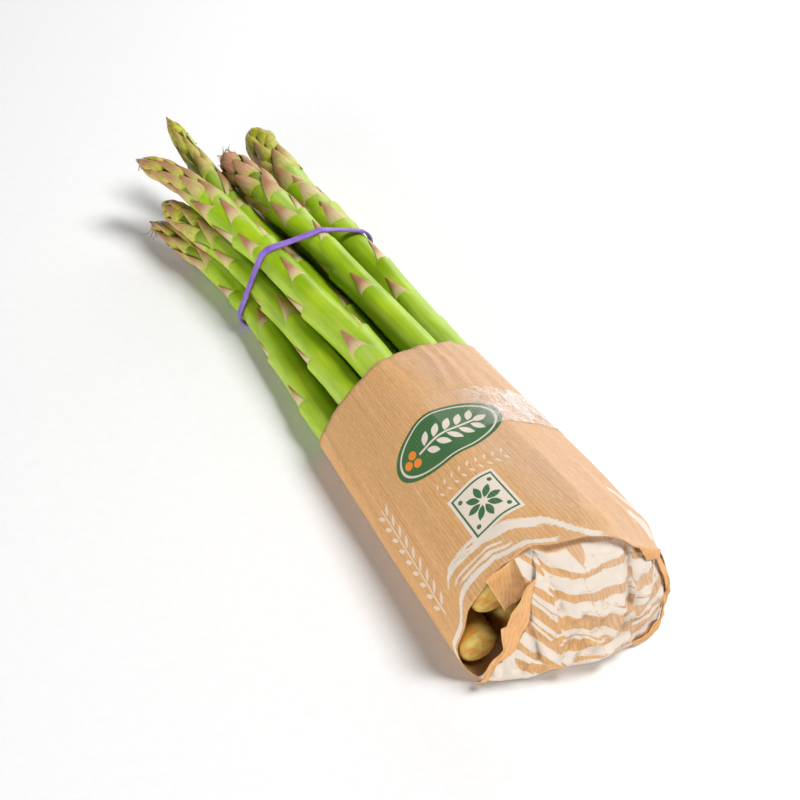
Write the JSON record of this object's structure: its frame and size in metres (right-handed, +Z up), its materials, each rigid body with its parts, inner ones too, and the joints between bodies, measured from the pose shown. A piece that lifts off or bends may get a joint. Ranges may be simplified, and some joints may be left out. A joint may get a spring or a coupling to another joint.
{
  "type": "bundle of asparagus",
  "caption": "Bundle of green asparagus spears lying on its side, held by a violet rubber band near the tips and a folded kraft paper sleeve with clear tape round the butts.",
  "frame": {"origin": "centre of the bundle's bounding box in plan, on the surface that it lies on", "axes": "+Y along the spears from the butts to the tips, +X to the right when seen from the butts, +Z up"},
  "size_m": [0.0678, 0.2724, 0.0408],
  "materials": {
    "spear": "smooth, faintly waxy green skin with pinkish mauve bracts",
    "band": "violet rubber, lightly shiny",
    "kraft": "brown ribbed kraft paper, creased, with white and green print",
    "tape": "clear wrinkled adhesive tape"
  },
  "bodies": {
    "root": {"spear_01": "spear", "spear_02": "spear", "spear_03": "spear", "spear_04": "spear", "spear_05": "spear", "spear_06": "spear", "spear_07": "spear", "spear_08": "spear", "spear_09": "spear", "spear_10": "spear", "spear_11": "spear", "rubber_band": "band", "paper_sleeve": "kraft", "clear_tape": "tape"}
  },
  "joints": []
}
